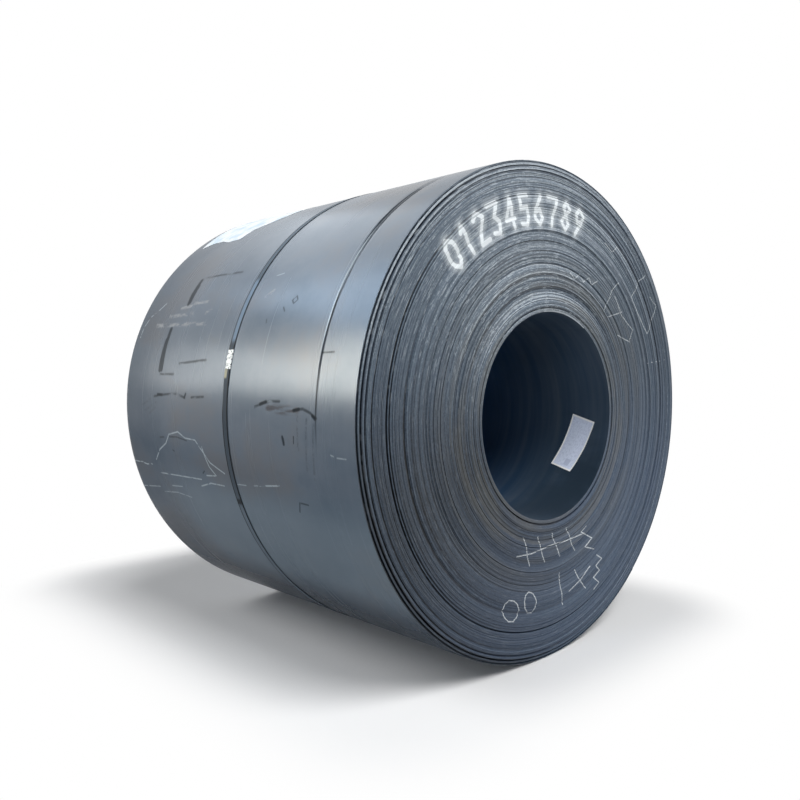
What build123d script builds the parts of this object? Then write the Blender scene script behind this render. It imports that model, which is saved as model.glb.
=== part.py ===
from build123d import *
import os
from math import cos, pi, radians, sin

os.makedirs("parts", exist_ok=True)

# A coil of hot-rolled strip, lying with its bore along X.
# The origin is on the floor, below the middle of the coil. The shown end is at +X.
# Angles go round the bore axis from +Y towards +Z, so 90 is the top and 180 the shown side.

# Strip
strip_width = 1500.0
strip_gauge = 3.0

# Winding
coil_diameter = 1800.0
bore_diameter = 762.0

# Wraps at the outside, from the outermost inwards: build-up and set-off along X
tail_build = 15.0
tail_setoff = 0.0
second_build = 12.0
second_setoff = 4.0

# Loose wraps leave a ring-shaped gap, open at both ends
slack_width = 4.0
slack_depth = 14.0
loose_ring_inset = 110.0
loose_ring_width = 5.0
loose_ring_depth = 9.0

# Even wraps, which wander from side to side as they build up
wander_pitch = 32.0
wander_setoff = 3.0
wander_phase = 2.4

# Tight wraps round the bore
mandrel_build = 12.0
mandrel_setoff = 0.0
inner_build = 22.0
inner_setoff = 4.0

# Strip ends: one gauge high, run out over part of a turn
tail_angle = -50.0
tail_run = 70.0
head_angle = 59.5
head_run = 55.0

# Rolled-over crease in the outer wrap
crease_inset = 186.0
crease_angle = 148.0
crease_sweep = 66.0
crease_width = 16.0
crease_depth = 2.5

# Steel strap round the middle, its ends lapped under a crimped seal
strap_x = 42.0
strap_width = 32.0
strap_thickness = 0.9
strap_lap_start = 163.5
strap_lap_end = 172.5
seal_angle = 166.7
seal_length = 67.0
seal_thickness = 1.2
notch_count = 3
notch_pitch = 18.0
notch_width = 7.0
notch_depth = 5.0

# Paper label on the bore wall, its middle measured from the shown end
bore_label_inset = 156.0
bore_label_angle = -21.3
bore_label_width = 115.0
bore_label_length = 232.0
bore_label_skew = 15.0

# Torn paper sheet on top, behind the strap, its middle measured from the far end
top_label_inset = 238.0
top_label_angle = 116.0
top_label_width = 444.0
top_label_length = 420.0
top_label_skew = 2.0

# Torn lower edge of the sheet from right to left, as shares of its half width and half length
torn_edge = [
    (1.0, 0.19),
    (0.76, 0.48),
    (0.5, 0.66),
    (0.48, 0.98),
    (0.18, 1.01),
    (-0.18, 0.94),
    (-0.49, 0.97),
    (-0.84, 1.06),
    (-1.0, 0.29),
]

paper_thickness = 0.3

# Clearances
strap_gap = 0.1
seal_gap = 0.1
paper_gap = 0.05
cut_margin = 50.0

# Dependent sizes
coil_radius = coil_diameter / 2
bore_radius = bore_diameter / 2
half_width = strip_width / 2
strap_seat = coil_radius + strap_gap
axis_height = strap_seat + strap_thickness
over_length = strip_width + 2 * cut_margin
over_radius = coil_radius + cut_margin


def round_axis(angle, inside):
    """Turns what is made at angle 0, about the origin, to its angle round the raised bore axis."""
    return Pos(0, 0, axis_height) * Rot(X=angle) * inside


def across(radius, angle):
    """Point in the cross-section plane."""
    return radius * cos(radians(angle)), radius * sin(radians(angle))


def sector(start, end, radius):
    """Wedge of the cross-section between two angles less than half a turn apart."""
    middle = (start + end) / 2
    corners = [(0, 0), across(radius, start), across(radius, middle), across(radius, end)]
    return Polygon(*corners, align=None)


def flat_group(outer, build, setoff):
    """Group of wraps with a flat end, as corners of radius, set-off and depth."""
    return [(outer, setoff, 0), (outer - build, setoff, 0)]


def slack_gap(outer, width, depth):
    """Bottom of the ring-shaped gap between two groups, which closes to a V."""
    return [(outer - width / 2, 0, depth)]


def wandering_wraps(outer, inner):
    """Even wraps, each group of them set off a little more or less than the last."""
    count = max(1, round((outer - inner) / wander_pitch))
    build = (outer - inner) / count
    corners = []
    for step in range(count + 1):
        corners.append((outer - step * build, wander_setoff * sin(wander_phase * step), 0))
    return corners


def end_corners():
    """Corners of the coil's end from the outside in."""
    second_outer = coil_radius - tail_build - slack_width
    loose_ring = coil_radius - loose_ring_inset
    mandrel_outer = bore_radius + mandrel_build
    inner_outer = mandrel_outer + slack_width + inner_build
    corners = flat_group(coil_radius, tail_build, tail_setoff)
    corners += slack_gap(coil_radius - tail_build, slack_width, slack_depth)
    corners += flat_group(second_outer, second_build, second_setoff)
    corners += wandering_wraps(second_outer - second_build, loose_ring)
    corners += slack_gap(loose_ring, loose_ring_width, loose_ring_depth)
    corners += wandering_wraps(loose_ring - loose_ring_width, inner_outer)
    corners += flat_group(inner_outer, inner_build, inner_setoff)
    corners += slack_gap(mandrel_outer + slack_width, slack_width, slack_depth)
    corners += flat_group(mandrel_outer, mandrel_build, mandrel_setoff)
    return corners


def wound_section():
    """Half section of the winding. Each wrap is one strip wide, so both ends are set off alike."""
    front = []
    back = []
    for radius, setoff, depth in end_corners():
        front.append((half_width + setoff - depth, radius))
        back.append((-half_width + setoff + depth, radius))
    outline = Polyline(*front, *reversed(back), close=True)
    return make_face(outline)


def through_cut(section):
    """Prism through both ends of the coil, from a shape in the cross-section."""
    return Pos(-over_length / 2, 0, 0) * extrude(Plane.YZ * section, over_length)


def tail_cut():
    """Crescent outside the second wrap, from the strip's outer end on."""
    offset = strip_gauge / (1 - cos(radians(tail_run)))
    run_out = tail_angle + tail_run
    under_wrap = Pos(*across(offset, run_out)) * Circle(coil_radius - offset)
    crescent = (Circle(over_radius) - under_wrap) & sector(tail_angle, run_out, 2 * over_radius)
    return through_cut(crescent)


def head_cut():
    """Crescent outside the bore, where the innermost wrap hasn't begun."""
    offset = strip_gauge / (1 - cos(radians(head_run)))
    run_out = head_angle - head_run
    over_wrap = Pos(*across(-offset, run_out)) * Circle(bore_radius + offset)
    return through_cut(over_wrap & sector(run_out, head_angle, 2 * over_radius))


def crease_cut():
    """V-shaped groove that fades out at both ends, turned about an axis set off from the bore's."""
    offset = crease_depth / (1 - cos(radians(crease_sweep / 2)))
    tip = coil_radius - crease_depth + offset
    rise = 2 * crease_depth
    half_mouth = crease_width * rise / crease_depth / 2
    crease_x = half_width - crease_inset
    outline = Polyline(
        (crease_x, tip),
        (crease_x + half_mouth, tip + rise),
        (crease_x - half_mouth, tip + rise),
        close=True,
    )
    ring = revolve(make_face(outline), Axis.X, 360)
    return Rot(X=crease_angle) * Pos(0, -offset, 0) * ring


def wound_coil():
    """Turned winding with stepped ends, both strip ends and the crease."""
    winding = revolve(wound_section(), Axis.X, 360)
    winding -= tail_cut()
    winding -= head_cut()
    winding -= crease_cut()
    return round_axis(0, winding)


def band(inner, outer, width, centre_x, start, end):
    """Flat band bent round the bore axis between two angles."""
    section = Pos(centre_x, (inner + outer) / 2) * Rectangle(width, outer - inner)
    return Rot(X=start) * revolve(section, Axis.X, end - start)


def strap():
    """Closed strap with a second layer where its ends lap."""
    lap_seat = strap_seat + strap_thickness
    lap_top = lap_seat + strap_thickness
    lap = Circle(lap_top) & sector(strap_lap_start, strap_lap_end, 2 * over_radius)
    section = Circle(lap_seat) + lap - Circle(strap_seat)
    hoop = Pos(strap_x - strap_width / 2, 0, 0) * extrude(Plane.YZ * section, strap_width)
    return round_axis(0, hoop)


def strap_seal():
    """Open sleeve over the lapped strap, crimped at both edges."""
    inside_width = strap_width + 2 * seal_gap
    outside_width = inside_width + 2 * seal_thickness
    inside_top = strap_seat + 2 * strap_thickness + seal_gap
    outside_top = inside_top + seal_thickness
    half_turn = seal_length / coil_radius * 90 / pi
    start = seal_angle - half_turn
    end = seal_angle + half_turn
    sleeve = band(strap_seat, outside_top, outside_width, strap_x, start, end)
    sleeve -= band(coil_radius - 1, inside_top, inside_width, strap_x, start - 1, end + 1)
    notch_reach = seal_thickness + notch_depth
    notch = Polygon((0, notch_width / 2), (0, -notch_width / 2), (-notch_reach, 0), align=None)
    cutter = extrude(Plane.XZ * notch, 20, both=True)
    first = -(notch_count - 1) / 2
    for index in range(notch_count):
        turn = seal_angle + (first + index) * notch_pitch / coil_radius * 180 / pi
        for side, flip in ((1, 0), (-1, 180)):
            edge = Pos(strap_x + side * outside_width / 2, coil_radius, 0) * Rot(Y=flip)
            sleeve -= Rot(X=turn) * edge * cutter
    return round_axis(0, sleeve)


def bore_label():
    """Paper label stuck to the bore wall, a little askew."""
    outer = bore_radius - paper_gap
    inner = outer - paper_thickness
    sheet = band(inner, outer, strip_width, 0, bore_label_angle - 60, bore_label_angle + 60)
    outline = Box(bore_label_width, bore_radius, bore_label_length)
    label_x = half_width - bore_label_inset
    place = Rot(X=bore_label_angle) * Pos(label_x, bore_radius, 0) * Rot(Y=bore_label_skew)
    return round_axis(0, sheet & (place * outline))


def top_label():
    """Paper sheet on the outside, its lower edge torn."""
    inner = coil_radius + paper_gap
    outer = inner + paper_thickness
    sheet = band(inner, outer, strip_width, 0, top_label_angle - 60, top_label_angle + 60)
    half_across = top_label_width / 2
    half_down = top_label_length / 2
    tear = [(side * half_across, end * half_down) for side, end in torn_edge]
    corners = [(-half_across, -half_down), (half_across, -half_down)]
    outline = extrude(Plane.XZ * Polygon(*corners, *tear, align=None), coil_radius / 2, both=True)
    label_x = -half_width + top_label_inset
    place = Rot(X=top_label_angle) * Pos(label_x, coil_radius, 0) * Rot(Y=top_label_skew)
    return round_axis(0, sheet & (place * outline))


pieces = {
    "wound_coil": wound_coil(),
    "strap": strap(),
    "strap_seal": strap_seal(),
    "bore_label": bore_label(),
    "top_label": top_label(),
}
for name, piece in pieces.items():
    export_step(piece, f"parts/{name}.step")
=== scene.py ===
"""Hot-rolled steel coil lying on a pale studio floor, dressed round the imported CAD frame.

Metres, unless a docstring says millimetres. The bore axis runs along X at z = 0.901, the shown end
is at +X and the shown side at -Y. Angles go round the axis from +Y towards +Z: 90 is the top, 180
the shown side and -90 the bottom. One pixel of the render is about 2 mm on the coil.
"""
import logging
from dataclasses import dataclass
from enum import Enum
from math import cos, hypot, pi, radians, sin, tau
from typing import Iterable, Sequence

import bpy
import numpy as np
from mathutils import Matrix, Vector


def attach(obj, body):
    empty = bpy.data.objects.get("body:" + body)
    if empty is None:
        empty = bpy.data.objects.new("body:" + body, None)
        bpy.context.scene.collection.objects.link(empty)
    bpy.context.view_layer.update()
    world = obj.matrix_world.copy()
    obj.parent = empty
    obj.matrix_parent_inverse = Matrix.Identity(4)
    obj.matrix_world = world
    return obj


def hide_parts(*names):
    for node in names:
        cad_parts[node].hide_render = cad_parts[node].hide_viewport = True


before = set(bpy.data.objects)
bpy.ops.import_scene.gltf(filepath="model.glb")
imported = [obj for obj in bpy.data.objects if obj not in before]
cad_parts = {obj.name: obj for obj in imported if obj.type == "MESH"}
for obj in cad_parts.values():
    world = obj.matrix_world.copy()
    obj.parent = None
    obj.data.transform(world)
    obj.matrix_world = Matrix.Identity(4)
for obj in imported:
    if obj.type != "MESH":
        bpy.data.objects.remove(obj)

LOG = logging.getLogger("coil")
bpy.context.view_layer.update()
MM = 0.001
AXIS = Vector((0.0, 0.0, 0.901))
SHOWN_SIDE = 180.0
SKIN_RADIUS = 0.9

Array = np.ndarray
Piece = bpy.types.Object
Socket = bpy.types.NodeSocket
Tree = bpy.types.NodeTree
Point = tuple[float, float]
Place = tuple[float, float, float]
Stroke = list[Point]
Colour = tuple[float, float, float, float]
# Numbers between which something fades, and its levels there
Fade = tuple[float, float, float, float]
# Middle of a band, how far off it is whole, how far off it ends, and its level
Band = tuple[float, float, float, float]


# ---------------------------------------------------------------- mesh helpers

def deselect() -> None:
    """Leaves edit mode and deselects every object."""
    if bpy.context.object and bpy.context.object.mode != "OBJECT":
        bpy.ops.object.mode_set(mode="OBJECT")
    bpy.ops.object.select_all(action="DESELECT")


def coordinates(mesh: bpy.types.Mesh) -> Array:
    """Reads all vertex places of a mesh.

    Args:
        mesh: mesh to read.

    Returns:
        One row of x, y and z for each vertex.
    """
    flat = np.empty(len(mesh.vertices) * 3)
    mesh.vertices.foreach_get("co", flat)
    return flat.reshape(-1, 3)


def place(mesh: bpy.types.Mesh, points: Array) -> None:
    """Writes all vertex places of a mesh."""
    mesh.vertices.foreach_set("co", np.asarray(points, float).ravel())
    mesh.update()


def on_wall(x: Array, radius: Array, angle: Array) -> Array:
    """Places points round the axis.

    Args:
        x: places along the axis in millimetres.
        radius: radii in millimetres.
        angle: angles in radians.

    Returns:
        One row of x, y and z in metres for each point.
    """
    return np.stack([
        x * MM,
        AXIS.y + radius * MM * np.cos(angle),
        AXIS.z + radius * MM * np.sin(angle),
    ], 1)


def polar(points: Array) -> tuple[Array, Array]:
    """Gives the radius in millimetres and the angle in degrees of each point."""
    y, z = points[:, 1] - AXIS.y, points[:, 2] - AXIS.z
    return np.hypot(y, z) / MM, np.degrees(np.arctan2(z, y))


def bell(angle: Array, middle: float, spread: float) -> Array:
    """Bell curve over angles in degrees, 1 at the middle and about a third at the spread."""
    away = np.abs((angle - middle + 180.0) % 360.0 - 180.0)
    return np.exp(-((away / spread) ** 2))


def ripple(u: Array, v: Array, first: Point, second: Point, count: int, seed: int) -> Array:
    """Mean of a few slanted sine waves over a sheet.

    Args:
        u: places across the sheet.
        v: places along the sheet.
        first: range of the waves' radians for each unit of u.
        second: range of the waves' radians for each unit of v.
        count: number of waves.
        seed: seed of the random draws.

    Returns:
        Height from -1 to 1 at each place.
    """
    rng = np.random.default_rng(seed)
    waves = [(rng.uniform(*first), rng.uniform(*second), rng.uniform(0, tau))
             for _ in range(count)]
    return sum(np.sin(a * u + b * v + c) for a, b, c in waves) / count


def skin_wave(x: Array, phi: Array) -> Array:
    """Waviness of the outer wrap, never outwards.

    Args:
        x: places along the axis in millimetres.
        phi: angles round the axis in radians.

    Returns:
        Radial shift in millimetres.
    """
    wave = 0.30 * np.sin(3 * phi + x / 210.0) + 0.22 * np.sin(7 * phi - x / 130.0 + 1.0)
    return wave + 0.15 * np.sin(13 * phi + x / 90.0 + 2.0) - 0.67


def spin_section(
    outline: Sequence[Point], steps: int, start: float = 0.0, turn: float = tau
) -> Piece:
    """Makes a circle of vertices, lays it on a half section and spins it round the axis.

    Args:
        outline: corners as x and radius.
        steps: number of parts of the turn.
        start: angle of the section in radians.
        turn: angle to spin in radians, negative towards larger angles.

    Returns:
        Closed ring, or a part of one with its ends filled.
    """
    deselect()
    bpy.ops.mesh.primitive_circle_add(vertices=len(outline), radius=1.0, fill_type="NOTHING")
    piece = bpy.context.object
    corners = [(x, AXIS.y + r * cos(start), AXIS.z + r * sin(start)) for x, r in outline]
    place(piece.data, np.array(corners))
    bpy.ops.object.mode_set(mode="EDIT")
    bpy.ops.mesh.select_all(action="SELECT")
    bpy.ops.mesh.spin(steps=steps, angle=turn, center=AXIS, axis=(1.0, 0.0, 0.0))
    bpy.ops.mesh.select_all(action="SELECT")
    if turn == tau:
        bpy.ops.mesh.remove_doubles(threshold=1e-6)
    else:
        bpy.ops.mesh.fill_holes(sides=0)
    bpy.ops.object.mode_set(mode="OBJECT")
    return piece


def thicken(piece: Piece, wall: float) -> None:
    """Turns a sheet to a solid, half of its thickness to each side.

    Args:
        piece: sheet that is active.
        wall: thickness in millimetres.
    """
    solid = piece.modifiers.new("wall", "SOLIDIFY")
    solid.thickness, solid.offset = wall * MM, 0.0
    bpy.ops.object.modifier_apply(modifier=solid.name)


def finish_piece(piece: Piece, name: str, smooth: float) -> Piece:
    """Names a piece, merges its doubles, turns its faces outwards and smooths it by angle.

    Args:
        piece: mesh object, in object mode.
        name: name that the piece gets.
        smooth: largest angle between faces that is shaded smooth, in degrees.

    Returns:
        The piece.
    """
    deselect()
    piece.name = piece.data.name = name
    piece.select_set(True)
    bpy.context.view_layer.objects.active = piece
    bpy.ops.object.mode_set(mode="EDIT")
    bpy.ops.mesh.select_all(action="SELECT")
    bpy.ops.mesh.remove_doubles(threshold=1e-6)
    bpy.ops.mesh.normals_make_consistent(inside=False)
    bpy.ops.object.mode_set(mode="OBJECT")
    bpy.ops.object.shade_smooth_by_angle(angle=radians(smooth))
    deselect()
    return piece


def hand_over(piece: Piece, node: str) -> None:
    """Puts a piece in the place of its CAD node, on the only body.

    Args:
        piece: piece of the visual model.
        node: CAD node that it stands for.
    """
    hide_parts(node)
    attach(piece, "root")


# ---------------------------------------------------------------- shader helpers

def linear(code: str) -> Colour:
    """Turns an sRGB hex colour to linear.

    Args:
        code: colour as "#rrggbb".

    Returns:
        Linear red, green, blue and an alpha of 1.
    """
    parts = [int(code[i:i + 2], 16) / 255 for i in (1, 3, 5)]
    r, g, b = (p / 12.92 if p <= 0.04045 else ((p + 0.055) / 1.055) ** 2.4 for p in parts)
    return r, g, b, 1.0


def metres(strokes: Iterable[Stroke], across: float = MM, up: float = MM) -> list[Stroke]:
    """Scales drawn strokes by the metres for each unit of their two numbers."""
    return [[(a * across, b * up) for a, b in stroke] for stroke in strokes]


def connect(node: bpy.types.Node, inputs: dict) -> None:
    """Sets a node's inputs, or links them.

    Args:
        node: node of any kind.
        inputs: input name or index to a value, or to what is linked to it.
    """
    for key, value in inputs.items():
        value = value.socket if isinstance(value, Value) else value
        if isinstance(value, Socket):
            node.id_data.links.new(value, node.inputs[key])
        else:
            node.inputs[key].default_value = value


def add(
    tree: Tree,
    kind: str,
    inputs: dict | None = None,
    out: int | str = 0,
    **settings: object,
) -> Socket | None:
    """Adds a node with its settings and links.

    Args:
        tree: node tree that gets the node.
        kind: node type without its ShaderNode prefix.
        inputs: input name or index to a value, or to what is linked to it.
        out: output that is handed back.
        settings: properties of the node.

    Returns:
        The chosen output socket, if the node has any.
    """
    node = tree.nodes.new("ShaderNode" + kind)
    for key, value in settings.items():
        setattr(node, key, value)
    connect(node, inputs or {})
    return node.outputs[out] if len(node.outputs) else None


class Value:
    """Number that varies over a surface. Arithmetic on it goes on in the node tree."""

    def __init__(self, tree: Tree, socket: Socket) -> None:
        """Keeps the tree and the socket that gives the number."""
        self.tree, self.socket = tree, socket

    def then(self, operation: str, *others: object) -> "Value":
        """Works out a number from this one and others."""
        inputs = dict(enumerate((self, *others)))
        return Value(self.tree, add(self.tree, "Math", inputs, operation=operation))

    def __add__(self, other: object) -> "Value":
        """Sum."""
        return self.then("ADD", other)

    def __sub__(self, other: object) -> "Value":
        """Difference."""
        return self.then("SUBTRACT", other)

    def __rsub__(self, other: float) -> "Value":
        """Difference from a plain number."""
        return self * -1.0 + other

    def __mul__(self, other: object) -> "Value":
        """Product."""
        return self.then("MULTIPLY", other)

    def __abs__(self) -> "Value":
        """Size without its sign."""
        return self.then("ABSOLUTE")

    def at_least(self, other: object) -> "Value":
        """The larger of this and another."""
        return self.then("MAXIMUM", other)

    def at_most(self, other: object) -> "Value":
        """The smaller of this and another."""
        return self.then("MINIMUM", other)

    def fade(self, low: float, high: float, bottom: float = 0.0, top: float = 1.0) -> "Value":
        """Maps this number smoothly from one range to another, and no further."""
        inputs = {0: self, 1: low, 2: high, 3: bottom, 4: top}
        return Value(self.tree, add(self.tree, "MapRange", inputs,
                                    interpolation_type="SMOOTHSTEP"))

    def near(self, middle: float, inner: float, outer: float, level: float = 1.0) -> "Value":
        """Gives the level where this number is within inner of a middle, and 0 past outer."""
        return abs(self - middle).fade(inner, outer, level, 0.0)


class Field:
    """Places on the coil as a shader sees them, worked out from Object coordinates."""

    def __init__(self, tree: Tree) -> None:
        """Adds the nodes that give x, radius and the direction round the axis."""
        self.tree = tree
        spot = add(tree, "TexCoord", out="Object")
        self.point = add(tree, "VectorMath", {0: spot, 1: AXIS}, operation="SUBTRACT")
        self.x = self.part(self.point, "X")
        flat = add(tree, "VectorMath", {0: self.point, 1: (0.0, 1.0, 1.0)}, operation="MULTIPLY")
        self.radius = self.number("VectorMath", {0: flat}, out="Value", operation="LENGTH")
        self.turned = add(tree, "VectorMath", {0: flat}, operation="NORMALIZE")

    def number(self, kind: str, inputs: dict, **settings: object) -> Value:
        """Adds a node that gives a number."""
        return Value(self.tree, add(self.tree, kind, inputs, **settings))

    def part(self, vector: Socket, letter: str) -> Value:
        """Gives one coordinate of a vector."""
        return self.number("SeparateXYZ", {0: vector}, out=letter)

    def angle(self, start: float) -> Value:
        """Angle in radians from a start, falling in the sense of the shown side from the top down.

        Args:
            start: angle round the axis, in degrees, at which the result is 0.

        Returns:
            Angle from -pi to pi.
        """
        centred = add(self.tree, "VectorRotate", {"Vector": self.turned, "Angle": radians(-start)},
                      rotation_type="X_AXIS")
        return self.part(centred, "Z").then("ARCTAN2", self.part(centred, "Y"))

    def noise(
        self, cells: Place, detail: float = 3.0, rough: float = 0.55, offset: float = 0.0
    ) -> Value:
        """Noise whose grain is stretched along X, Y and Z.

        Args:
            cells: cells per metre along each axis.
            detail: octaves.
            rough: share of the finer octaves.
            offset: shift of the pattern, so that two of them differ.

        Returns:
            Number near 0.5.
        """
        scaled = add(self.tree, "VectorMath", {0: self.point, 1: cells, 2: (offset,) * 3},
                     operation="MULTIPLY_ADD")
        return self.number("TexNoise", {
            "Vector": scaled, "Scale": 1.0, "Detail": detail, "Roughness": rough})

    def ring_noise(self, across: float, along: float, detail: float, offset: float) -> Value:
        """Noise that runs round the axis and changes quickly along the radius.

        Args:
            across: cells per metre of radius.
            along: cells per radian.
            detail: octaves.
            offset: shift of the pattern.

        Returns:
            Number near 0.5.
        """
        away = add(self.tree, "CombineXYZ", {0: self.radius * across + offset})
        spot = add(self.tree, "VectorMath", {0: self.turned, 1: (along,) * 3, 2: away},
                   operation="MULTIPLY_ADD")
        return self.number("TexNoise", {
            "Vector": spot, "Scale": 1.0, "Detail": detail, "Roughness": 0.6})

    def distance(self, spot: Socket, strokes: Iterable[Stroke]) -> Value:
        """Distance from a flat spot to the nearest of some drawn strokes.

        Args:
            spot: vector with the two flat coordinates in metres.
            strokes: each a run of points in metres.

        Returns:
            Distance in metres.
        """
        nearest = None
        for stroke in strokes:
            for (ax, ay), (bx, by) in zip(stroke, stroke[1:]):
                along = Vector((bx - ax, by - ay, 0.0))
                unit = along / max(along.length_squared, 1e-12)
                share = self.number("VectorMath", {0: spot, 1: unit}, out="Value",
                                    operation="DOT_PRODUCT")
                share = self.number("Clamp", {0: share - (ax * unit.x + ay * unit.y)})
                foot = add(self.tree, "VectorMath", {0: along, "Scale": share}, operation="SCALE")
                away = add(self.tree, "VectorMath", {0: spot, 1: (ax, ay, 0.0)},
                           operation="SUBTRACT")
                apart = self.number("VectorMath", {0: away, 1: foot}, out="Value",
                                    operation="DISTANCE")
                nearest = apart.at_most(nearest) if nearest else apart
        return nearest

    def coat(self, colour: Socket | Colour, tint: str, cover: Value) -> Socket:
        """Lays an sRGB hex tint over a colour, as far as a number from 0 to 1 says."""
        return add(self.tree, "Mix", {0: cover, 6: colour, 7: linear(tint)}, out=2,
                   data_type="RGBA")

    def shades(self, tone: Value, stops: Sequence[tuple[float, str]]) -> Socket:
        """Turns a tone to a colour.

        Args:
            tone: number from 0 to 1.
            stops: place from 0 to 1 and sRGB hex colour of each stop.

        Returns:
            Colour.
        """
        colour = add(self.tree, "ValToRGB", {0: tone})
        elements = colour.node.color_ramp.elements
        for index, (position, code) in enumerate(stops):
            stop = elements[index] if index < 2 else elements.new(position)
            stop.position = position
            stop.color = linear(code)
        return colour


# ---------------------------------------------------------------- finishes

@dataclass(frozen=True)
class Finish:
    """Surface of one real material. Each kind says what the shader's inputs get."""

    name: str = "finish"

    def inputs(self, field: Field) -> dict[str, object]:
        """Gives the Principled shader's inputs by name."""
        raise NotImplementedError

    def build(self) -> bpy.types.Material:
        """Builds the material.

        Returns:
            The material.
        """
        material = bpy.data.materials.new(self.name)
        material.use_nodes = True
        shader = material.node_tree.nodes["Principled BSDF"]
        connect(shader, self.inputs(Field(material.node_tree)))
        return material


class Mark(Enum):
    """Marks on the shown side as x in millimetres and degrees above the middle of the side."""

    SCRATCH = (
        [(-748, -13.1), (-679, -13.0), (-636, -13.4), (-583, -13.1)],
        [(-536, -11.6), (-482, -8.7), (-421, -6.9), (-386, -4.6), (-312, -3.7), (-258, -5.0),
         (-185, -5.2), (-139, -7.7), (-98, -10.1), (-10, -12.1)],
        [(-142, -6.4), (-127, -9.1), (-111, -11.1), (-75, -13.0)],
        [(-527, -15.1), (-196, -14.7)], [(-145, -13.4), (-83, -13.1)],
        [(-212, -16.5), (-130, -15.2), (-36, -15.2)], [(172, -13.7), (329, -12.6)],
        [(-604, 29.0), (-636, 27.3), (-685, 25.4)], [(-695, 24.5), (-714, 22.4), (-717, 19.6)],
    )
    FAINT = (
        [(-741, -20.2), (-583, -19.3)], [(-463, -18.2), (-370, -17.8)],
        [(63, -14.1), (118, -14.0)], [(632, -4.6), (645, -4.8)], [(662, -5.0), (703, -5.0)],
        [(-560, -20.6), (-440, -19.9), (-330, -20.4)], [(150, 33.0), (190, 33.4)],
    )
    SCUFF = (
        [(-515, 24.9), (-328, 25.1)], [(-602, 22.6), (-193, 22.2)], [(-446, 26.9), (-371, 27.4)],
        [(-355, 28.1), (-251, 28.0)], [(-226, 25.0), (-195, 25.4)], [(150, 27.6), (184, 28.9)],
    )
    GOUGE = (
        [(-407, 34.9), (-412, 31.0), (-404, 28.2)], [(-401, 33.2), (-399, 28.6)],
        [(-462, 21.2), (-464, 16.8), (-459, 11.2)], [(-470, 18.4), (-475, 13.4), (-473, 11.0)],
    )
    BLOT = (
        [(-470, 4.9), (-432, 4.9)], [(-252, 4.5), (-244, 5.3)], [(262, 4.0), (296, 4.6)],
        [(452, 3.2), (478, 3.5)], [(548, 2.4), (560, 1.9)], [(387, -2.2), (392, -3.6)],
        [(390, -2.6), (392, -3.3)],
    )
    DARK = (
        [(-407, 35.7), (-262, 35.9), (-112, 35.8)], [(-466, 9.9), (-355, 9.9)],
        [(-322, 12.5), (-120, 13.3)], [(-499, 4.4), (-406, 5.0), (-314, 5.3), (-247, 4.4)],
        [(-199, 4.6), (-111, 4.9)], [(230, 3.4), (269, 4.2), (317, 4.7), (372, 4.8)],
        [(447, 3.2), (498, 3.6), (533, 3.0), (567, 2.0)],
    )
    NICK = (
        [(-464, -5.6), (-430, -5.4)], [(-385, -5.2), (-325, -5.0), (-250, -5.6)],
        [(-372, -8.4), (-362, -8.6)], [(-170, -13.0), (-155, -12.4)],
        [(411, -17.6), (426, -15.5), (472, -15.6)], [(448, -1.9), (446, -3.2)],
        [(565, 14.4), (623, 14.5)],
        [(322, 26.0), (336, 25.2), (352, 26.0), (340, 26.9), (322, 26.0)],
        [(210, 22.0), (214, 21.2)], [(286, 24.5), (300, 23.6)],
    )
    BROWN = ([(308, 3.4), (379, 3.1), (465, 3.3)],)
    DRIP = (
        [(471, 2.6), (469, -4.4)], [(518, 1.6), (505, -8.1)], [(553, 0.7), (538, -9.9)],
        [(-608, 1.9), (-534, 3.7)], [(-579, 0.7), (-483, 3.0)], [(-558, -0.5), (-490, 1.7)],
    )

    def strokes(self) -> list[Stroke]:
        """Gives the marks in metres, x and height along the skin."""
        return metres(self.value, MM, radians(1.0) * SKIN_RADIUS)


@dataclass(frozen=True)
class Pen:
    """How a mark is drawn: half width and soft border in millimetres, and cover from 0 to 1.

    The mark is broken up by noise of so many cells per metre: it is gone below one number and
    whole above another.
    """

    tint: str
    half: float
    border: float
    level: float
    gone: float = -0.2
    whole: float = 0.0
    cells: float = 45.0


OXIDE = "#1e252b"
BARE_STEEL = "#a9b4bb"

# In the order in which they lie on each other. Real scratches are under 1 mm wide. They are drawn
# 2 to 3 mm wide, which is as fine as the render shows.
PENS: dict[Mark, Pen] = {
    Mark.BROWN: Pen("#4a4546", 4.0, 17.0, 0.75, 0.38, 0.62, 14.0),
    Mark.DRIP: Pen(OXIDE, 1.0, 7.0, 0.35, 0.35, 0.6, 45.0),
    Mark.SCUFF: Pen("#a9abac", 1.5, 11.0, 0.66, 0.36, 0.62, 22.0),
    Mark.GOUGE: Pen(OXIDE, 9.0, 4.5, 0.80),
    Mark.BLOT: Pen(OXIDE, 2.6, 6.0, 0.85, 0.05, 0.25, 20.0),
    Mark.DARK: Pen(OXIDE, 1.2, 6.5, 0.72, 0.30, 0.5, 20.0),
    Mark.NICK: Pen(OXIDE, 1.2, 3.4, 0.7, 0.28, 0.45, 45.0),
    Mark.FAINT: Pen(BARE_STEEL, 0.8, 2.8, 0.6, 0.38, 0.5, 30.0),
    Mark.SCRATCH: Pen(BARE_STEEL, 1.1, 2.8, 0.85, 0.34, 0.52, 30.0),
}


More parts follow.
